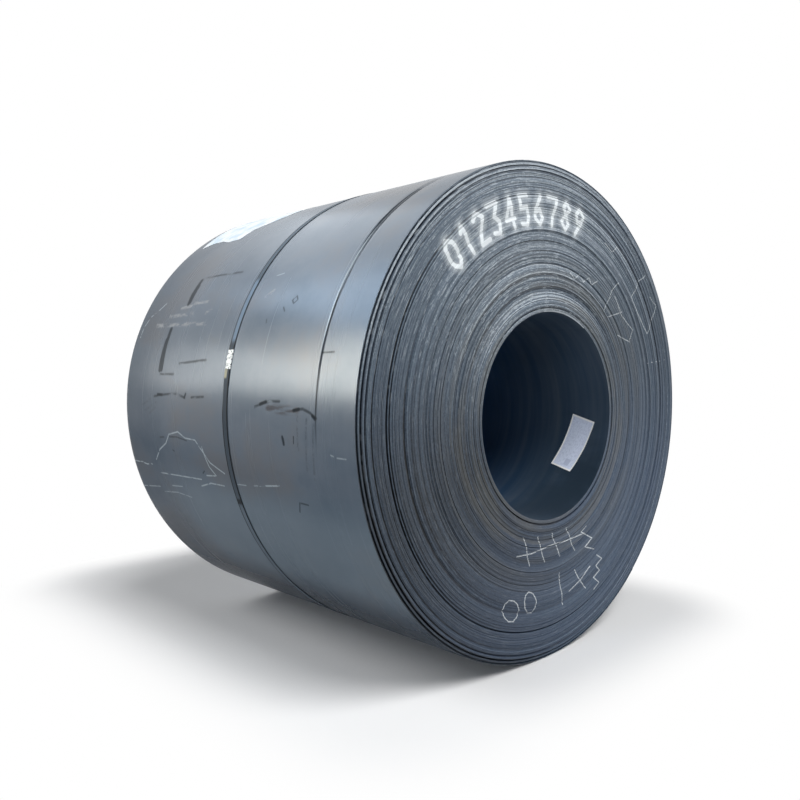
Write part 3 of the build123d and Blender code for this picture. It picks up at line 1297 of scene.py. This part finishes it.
    def tone(self, points: Array) -> Array:
        """Tone of every wrap's edge, from 0 for an open gap to 1 for a rubbed, shining edge, with
        painted shade on marked wraps that stand back and painted light on proud ones.

        Args:
            points: vertices of the plain spun ring.

        Returns:
            Tone of each vertex.
        """
        rng = np.random.default_rng(self.seed + 1)
        radius, angle = polar(points)
        phi = np.radians(angle)
        count = self.turns()
        turn = self.turn_at(radius)
        rim = np.clip((radius - 835.0) / 30.0, 0.0, 1.0)
        core = np.clip((500.0 - radius) / 60.0, 0.0, 1.0)
        top = np.clip(np.sin(phi), 0.0, 1.0)
        contrast = 0.045 + 0.05 * core + 0.05 * rim + 0.035 * top
        own, lag = rng.normal(0.0, 1.0, count), rng.uniform(0.0, tau, count)
        slow = rng.normal(0.0, 1.0, count)
        value = 0.5 + contrast * (own[turn] + 0.7 * slow[turn] * np.cos(2 * phi - lag[turn]))
        for wrap in range(2, count - 2):
            if rng.random() < 0.24:
                middle = rng.uniform(0.0, 360.0)
                depth = rng.uniform(0.05, 0.17) * (-1.0 if rng.random() < 0.6 else 1.0)
                streak = depth * bell(angle, middle, rng.uniform(20.0, 90.0))
                value = value + np.where(turn == wrap, streak, 0.0)
        # Painted shade on the marked wraps that stand back, and painted light on the proud ones.
        for centre, depth, width, middle, spread in MARKED_RINGS:
            near = np.abs(self.middle_of(turn) - centre) < width
            level = np.clip(depth / 14.0, -0.5, 0.25) - (0.12 if depth < 0 else -0.04)
            value = value + level * near * bell(angle, middle, spread)
        innermost = np.where(np.abs(angle - 79.0) < 19.5, 0.60, -0.08)
        value = value + np.where(turn == count - 1, innermost, 0.0)
        return np.clip(value, 0.0, 1.0)

    def run_out(self, radius: Array, angle: Array) -> Array:
        """Radial shift of the outermost and innermost wraps next to the strip's ends.

        Args:
            radius: radii in millimetres.
            angle: angles in degrees.

        Returns:
            Shift in millimetres.
        """
        since_tail = (angle - self.tail_angle) % 360.0
        left = np.clip(self.tail_run - since_tail, 0.0, self.tail_run)
        share = (1.0 - np.cos(np.radians(left))) / (1.0 - cos(radians(self.tail_run)))
        depth = np.clip(1.0 - (self.outer - radius) / self.loosened, 0.0, 1.0)
        shift = -self.gauge * share * depth
        before_head = (angle - self.head_angle + self.head_run) % 360.0
        run = np.where(before_head <= self.head_run, before_head, 0.0)
        share = (1.0 - np.cos(np.radians(run))) / (1.0 - cos(radians(self.head_run)))
        depth = np.clip(1.0 - (radius - self.bore) / self.loosened, 0.0, 1.0)
        return shift + self.gauge * share * depth

    def waves(self, x: Array, radius: Array, angle: Array) -> Array:
        """Gentle waviness of the outer wrap, and the rolled-over crease in it.

        Args:
            x: places along the axis in millimetres.
            radius: radii in millimetres.
            angle: angles in degrees.

        Returns:
            Shift in millimetres, never outwards.
        """
        run = np.clip((angle - 113.0) / 6.0, 0.0, 1.0) * np.clip((186.0 - angle) / 50.0, 0.12, 1.0)
        run = run * np.clip((188.0 - angle) / 3.0, 0.0, 1.0)
        half = 11.0 - 7.5 * np.clip((angle - 128.0) / 28.0, 0.0, 1.0)
        across = np.abs(x - self.crease_x) / half
        groove = np.interp(across, [0.0, 0.5, 0.9, 1.4, 3.0], [-0.6, -1.2, -3.2, 0.2, 0.0])
        shift = skin_wave(x, np.radians(angle)) + groove * run
        return np.where(radius > self.outer - 1.5, shift, 0.0)

    def dress(self, piece: Piece) -> None:
        """Gives the outer wrap, the ends and the bore their finishes.

        Args:
            piece: the coil.
        """
        plain = WoundEdges(name="hot_rolled_steel_mill_edges_plain", marked=False)
        for finish in (MillScale(), WoundEdges(), BoreScale(), plain):
            piece.data.materials.append(finish.build())
        for face in piece.data.polygons:
            x, y, z = face.center
            radius = hypot(y - AXIS.y, z - AXIS.z) / MM
            if radius < self.bore + 6.0 and abs(x) / MM < self.half_width - 6.0:
                face.material_index = 2
            elif radius < self.outer - 5.0 or abs(x) / MM > self.half_width - 1.0:
                face.material_index = 1 if x > 0 else 3

    def build(self) -> list[Piece]:
        """Builds and dresses the coil as one closed mesh.

        Returns:
            The coil.
        """
        piece = spin_section(self.outline(), self.steps)
        points = coordinates(piece.data)
        tone = piece.data.attributes.new("wrap_tone_and_shade", "FLOAT", "POINT")
        tone.data.foreach_set("value", self.tone(points))
        place(piece.data, self.wind(points))
        finish_piece(piece, "wound_coil_wraps", 28.0)
        self.dress(piece)
        hand_over(piece, "wound_coil")
        return [piece]


# ---------------------------------------------------------------- strap, seal and papers

@dataclass
class StrapBand:
    """Steel strap round the middle, its ends lapped, and the crimped seal over it. Millimetres."""

    centre: float = 42.0
    width: float = 32.0
    bevel: float = 0.25
    seat: float = 900.03
    top: float = 900.8
    lap_gap: float = 0.05
    lap_rise: float = 0.8
    lap_start: float = 163.5
    lap_end: float = 172.5
    seal_angle: float = 166.7
    seal_length: float = 67.0
    seal_half_width: float = 17.3
    seal_radius: float = 902.3
    seal_limit: float = 903.1
    seal_wall: float = 0.5
    dent_depth: float = 0.9
    fold_drop: float = 1.7
    skin: float = 900.0
    notch_pitch: float = 18.0
    notch_half: float = 3.6
    notch_reach: float = 5.0

    def section(self, seat: float, top: float) -> list[Point]:
        """Cross-section of one layer of the strap, with rounded edges.

        Args:
            seat: radius of its underside.
            top: radius of its upper side.

        Returns:
            Corners as x and radius in metres.
        """
        half, bevel = self.width / 2, self.bevel
        corners = [
            (-half, seat + bevel), (-half + bevel, seat), (half - bevel, seat),
            (half, seat + bevel), (half, top - bevel), (half - bevel, top),
            (-half + bevel, top), (-half, top - bevel),
        ]
        return [((self.centre + x) * MM, r * MM) for x, r in corners]

    def build_band(self) -> Piece:
        """Builds the hoop and the second layer where the ends lap.

        Returns:
            The strap.
        """
        hoop = spin_section(self.section(self.seat, self.top), 256)
        lap_seat = self.top + self.lap_gap
        lap = self.section(lap_seat, lap_seat + self.lap_rise)
        start, turn = radians(self.lap_start), radians(self.lap_end - self.lap_start)
        spin_section(lap, 9, start, -turn)
        hoop.select_set(True)
        bpy.context.view_layer.objects.active = hoop
        bpy.ops.object.join()
        return finish_piece(hoop, "steel_strap_band", 30.0)

    def build_seal(self) -> Piece:
        """Builds the seal: a sheet folded over the strap, notched and dented at three places.

        Returns:
            The seal.
        """
        deselect()
        bpy.ops.mesh.primitive_grid_add(x_subdivisions=16, y_subdivisions=44, size=2.0)
        piece = bpy.context.object
        flat = coordinates(piece.data)
        across, along = flat[:, 0], flat[:, 1] * self.seal_length / 2
        edge = np.abs(across)
        nearest = np.min([np.abs(along - k * self.notch_pitch) for k in (-1, 0, 1)], axis=0)
        bite = np.clip(1.0 - nearest / self.notch_half, 0.0, 1.0)
        reach = self.seal_half_width - self.notch_reach * bite * np.clip((edge - 0.4) / 0.6, 0, 1)
        x = across * reach
        fold = np.clip((edge - 0.86) / 0.14, 0.0, 1.0)
        dents = ripple(across, along, (2, 7), (0.1, 0.45), 6, 8)
        radius = self.seal_radius + self.dent_depth * dents
        radius = radius - self.fold_drop * fold ** 1.4 * (1.0 - 0.6 * bite)
        radius = np.minimum(radius, self.seal_limit)
        radius += 0.4 * bite * np.clip((edge - 0.5) / 0.3, 0, 1) * np.where(x > 0, 1.0, -1.0)
        angle = np.radians(self.seal_angle) + along / self.skin
        place(piece.data, on_wall(self.centre + x, radius, angle))
        thicken(piece, self.seal_wall)
        return finish_piece(piece, "strap_seal_sleeve", 25.0)

    def build(self) -> list[Piece]:
        """Builds and dresses the strap and its seal.

        Returns:
            Both pieces.
        """
        band, seal = self.build_band(), self.build_seal()
        band.data.materials.append(Strapping().build())
        hand_over(band, "strap")
        seal.data.materials.append(SealSteel().build())
        hand_over(seal, "strap_seal")
        return [band, seal]


# Torn lower edge of the sheet on top, from left to right as shares of its half width and length
TORN_EDGE: tuple[Point, ...] = (
    (-1.0, 0.29), (-0.84, 1.06), (-0.49, 0.97), (-0.18, 0.94), (0.18, 1.01), (0.48, 0.98),
    (0.5, 0.66), (0.76, 0.48), (1.0, 0.19),
)
# Rag of a tear: waves across the sheet and where each of them starts
RAG: tuple[Point, ...] = ((1, 0.4), (2.3, 2.0), (5, 1.0), (9, 5.0), (17, 2.5))


@dataclass
class PaperSheet:
    """Sheet of paper that lies on a round wall of the coil. Millimetres and degrees."""

    name: str
    node: str
    slot: str
    finish: Finish
    radius: float
    centre: float
    angle: float
    across: float
    along: float
    skew: float
    lift: float
    tear: float = 0.0
    torn: Sequence[Point] = ((-1.0, 1.0), (1.0, 1.0))
    inwards: bool = False
    wall: float = 0.25
    clearance: float = 0.2
    seed: int = 5

    def lay(self, u: Array, v: Array) -> Array:
        """Lays the flat sheet on its wall, with its lower edge torn and its edges lifted.

        Args:
            u: places across the sheet from -1 to 1.
            v: places along the sheet from -1 to 1.

        Returns:
            One row of x, y and z in metres for each place.
        """
        crumple = ripple(u, v, (2, 9), (2, 9), 5, self.seed)
        rag = sum(np.sin(k * u * 3.0 + start) / k for k, start in RAG)
        x = u * self.across / 2
        reach = np.interp(u, [a for a, _ in self.torn], [b for _, b in self.torn])
        down = ((v + 1.0) / 2 * (1.0 + reach) - 1.0) * self.along / 2
        down += np.where(v > 0.9, self.tear * rag * (v - 0.9) * 10.0, 0.0)
        turn = radians(self.skew)
        x, down = x * cos(turn) + down * sin(turn), down * cos(turn) - x * sin(turn)
        edge = np.clip((np.maximum(np.abs(u), np.abs(v)) - 0.7) / 0.3, 0.0, 1.0)
        off = self.lift * (edge ** 2) * (0.6 + 0.4 * crumple) + self.clearance
        off = off + 0.2 * self.lift * (crumple + 1.0) / 2
        angle = radians(self.angle) + down / self.radius
        if self.inwards:
            radius = self.radius - off
        else:
            radius = self.radius + off + skin_wave(self.centre + x, angle)
        return on_wall(self.centre + x, radius, angle)

    def build(self) -> list[Piece]:
        """Builds and dresses the sheet.

        Returns:
            The sheet.
        """
        deselect()
        bpy.ops.mesh.primitive_grid_add(x_subdivisions=90, y_subdivisions=60, size=2.0,
                                        calc_uvs=True)
        piece = bpy.context.object
        flat = coordinates(piece.data)
        place(piece.data, self.lay(flat[:, 0], flat[:, 1]))
        thicken(piece, self.wall)
        finish_piece(piece, self.name, 40.0)
        piece.data.materials.append(self.finish.build())
        hand_over(piece, self.node)
        return [piece]


# ---------------------------------------------------------------- studio

@dataclass
class Studio:
    """Floor, world, lamps and camera."""

    floor_half: float = 30.0
    shadow_centre: Place = (-0.41, 0.01, 0.0)
    shadow_half: Place = (1.07, 0.64, 0.0)
    shadow_fade: Point = (0.17, 0.58)
    floor_white: Colour = (0.97, 0.97, 0.97, 1.0)
    floor_grey: Colour = (0.5, 0.5, 0.5, 1.0)
    world_level: float = 0.085
    azimuth: float = 41.37
    elevation: float = 4.83
    lens: float = 33.5
    shift: Point = (-0.125, 0.0375)
    camera_place: Place = (2.40704, -2.1734, 1.08214)

    def background(self, tree: Tree) -> Value:
        """Tells 1 where the camera, a reflection or a clear surface looks, else 0."""
        camera, glossy, clear = (Value(tree, add(tree, "LightPath", out=f"Is {kind} Ray"))
                                 for kind in ("Camera", "Glossy", "Transmission"))
        return camera.at_least(glossy).at_least(clear)

    def make_world(self) -> None:
        """Makes a white world that lights the object gently."""
        world = bpy.data.worlds.new("studio")
        world.use_nodes = True
        tree = world.node_tree
        tree.nodes.clear()
        glow = add(tree, "Background", {0: linear("#e9eff5"), 1: self.world_level})
        white = add(tree, "Background", {0: linear("#ffffff"), 1: 1.0})
        both = add(tree, "MixShader", {0: self.background(tree), 1: glow, 2: white})
        add(tree, "OutputWorld", {0: both})
        bpy.context.scene.world = world

    def make_floor(self) -> None:
        """Makes the pale floor, which keeps the shadow near the coil and is white far off."""
        deselect()
        bpy.ops.mesh.primitive_plane_add(size=2 * self.floor_half)
        floor = bpy.context.object
        floor.name = "floor"
        material = bpy.data.materials.new("matt_white_floor")
        material.use_nodes = True
        tree = material.node_tree
        tree.nodes.clear()
        away = add(tree, "TexCoord", out="Object")
        for operation, other in (
            ("SUBTRACT", self.shadow_centre), ("ABSOLUTE", None),
            ("SUBTRACT", self.shadow_half), ("MAXIMUM", (0.0, 0.0, 0.0)),
        ):
            inputs = {0: away, 1: other} if other else {0: away}
            away = add(tree, "VectorMath", inputs, operation=operation)
        away = Value(tree, add(tree, "VectorMath", {0: away}, out="Value", operation="LENGTH"))
        matt = add(tree, "BsdfDiffuse", {0: self.floor_white})
        white = add(tree, "Emission", {0: linear("#ffffff"), 1: 1.0})
        seen = add(tree, "MixShader", {0: away.fade(*self.shadow_fade), 1: matt, 2: white})
        pale = add(tree, "BsdfDiffuse", {0: self.floor_grey})
        both = add(tree, "MixShader", {0: self.background(tree), 1: pale, 2: seen})
        add(tree, "OutputMaterial", {0: both})
        floor.data.materials.append(material)

    def sun(self, name: str, towards: Place, level: float, softness: float, tint: str) -> None:
        """Adds a broad lamp far away.

        Args:
            name: name of the lamp.
            towards: direction from the coil to the lamp.
            level: share of a plain white surface's brightness that it gives, facing it.
            softness: angle that the lamp takes up, in degrees.
            tint: sRGB hex colour.
        """
        lamp = bpy.data.lights.new(name, "SUN")
        lamp.energy = level * pi
        lamp.angle = radians(softness)
        lamp.color = linear(tint)[:3]
        holder = bpy.data.objects.new(name, lamp)
        holder.rotation_euler = Vector(towards).to_track_quat("Z", "Y").to_euler()
        bpy.context.scene.collection.objects.link(holder)

    def panel(
        self, name: str, centre: Place, facing: Place, size: Point, glow: float, tint: str
    ) -> None:
        """Adds a soft panel that only shows as a sheen on smooth surfaces.

        Args:
            name: name of the lamp.
            centre: place of its middle.
            facing: direction in which it shines.
            size: width and height in metres.
            glow: brightness of its face, where 1 is white.
            tint: sRGB hex colour.
        """
        lamp = bpy.data.lights.new(name, "AREA")
        lamp.shape = "RECTANGLE"
        lamp.size, lamp.size_y = size
        lamp.energy = glow * pi * size[0] * size[1]
        lamp.color = linear(tint)[:3]
        holder = bpy.data.objects.new(name, lamp)
        holder.location = centre
        holder.rotation_euler = Vector(facing).to_track_quat("-Z", "Y").to_euler()
        holder.visible_diffuse = False
        bpy.context.scene.collection.objects.link(holder)

    def make_lamps(self) -> None:
        """Lights the coil from overhead, from the left and from the camera's side."""
        self.sun("overhead_right", (0.61, -0.02, 0.79), 0.73, 32.0, "#ffffff")
        self.sun("overhead_left", (-0.34, -0.62, 0.71), 0.33, 34.0, "#ffffff")
        self.sun("fill", (0.42, -0.87, 0.26), 0.24, 30.0, "#eef4fb")
        right, back = (1.0, 0.0, 0.0), (-0.62, -0.72, -0.25)
        self.panel("left_low", (-3.6, -4.50, 2.50), right, (2.2, 2.0), 17.0, "#fbf7e9")
        self.panel("left_low_mid", (-3.6, -2.80, 1.82), right, (0.8, 1.0), 6.0, "#f8f8f2")
        self.panel("left_high", (-3.6, -3.70, 4.60), right, (3.8, 2.4), 6.4, "#cfe4f8")
        self.panel("left_top", (-3.6, -0.30, 5.20), right, (2.8, 3.0), 1.6, "#dfeaf4")
        self.panel("right_high", (4.2, 4.2, 3.9), back, (5.0, 2.6), 6.0, "#eef4fa")

    def make_camera(self) -> None:
        """Sets the camera at the photograph's viewing angle."""
        lens = bpy.data.cameras.new("view")
        lens.lens = self.lens
        lens.sensor_width = 36.0
        lens.shift_x, lens.shift_y = self.shift
        camera = bpy.data.objects.new("view", lens)
        a, e = radians(self.azimuth), radians(self.elevation)
        back = Vector((sin(a) * cos(e), -cos(a) * cos(e), sin(e)))
        camera.location = self.camera_place
        camera.rotation_euler = (-back).to_track_quat("-Z", "Y").to_euler()
        bpy.context.scene.collection.objects.link(camera)
        bpy.context.scene.camera = camera

    def build(self) -> None:
        """Builds the whole studio."""
        bpy.context.scene.view_settings.view_transform = "Standard"
        self.make_world()
        self.make_floor()
        self.make_lamps()
        self.make_camera()


def main() -> None:
    """Builds the coil, its strap and papers, and the studio."""
    logging.basicConfig(level=logging.INFO, format="%(message)s")
    label = PaperSheet(
        "bore_label_sheet", "bore_label", "label_paper", LabelPaper(), radius=381.0, centre=594.0,
        angle=-21.3, across=115.0, along=232.0, skew=15.0, lift=2.0, inwards=True)
    sheet = PaperSheet(
        "torn_paper_sheet", "top_label", "sheet_paper", SheetPaper(), radius=900.0, centre=-512.0,
        angle=116.0, across=444.0, along=420.0, skew=2.0, lift=0.3, tear=7.0, torn=TORN_EDGE)
    for assembly in (WoundCoil(), StrapBand(), label, sheet):
        for piece in assembly.build():
            LOG.info("%s: %d faces", piece.name, len(piece.data.polygons))
    Studio().build()


if __name__ == "__main__":
    main()
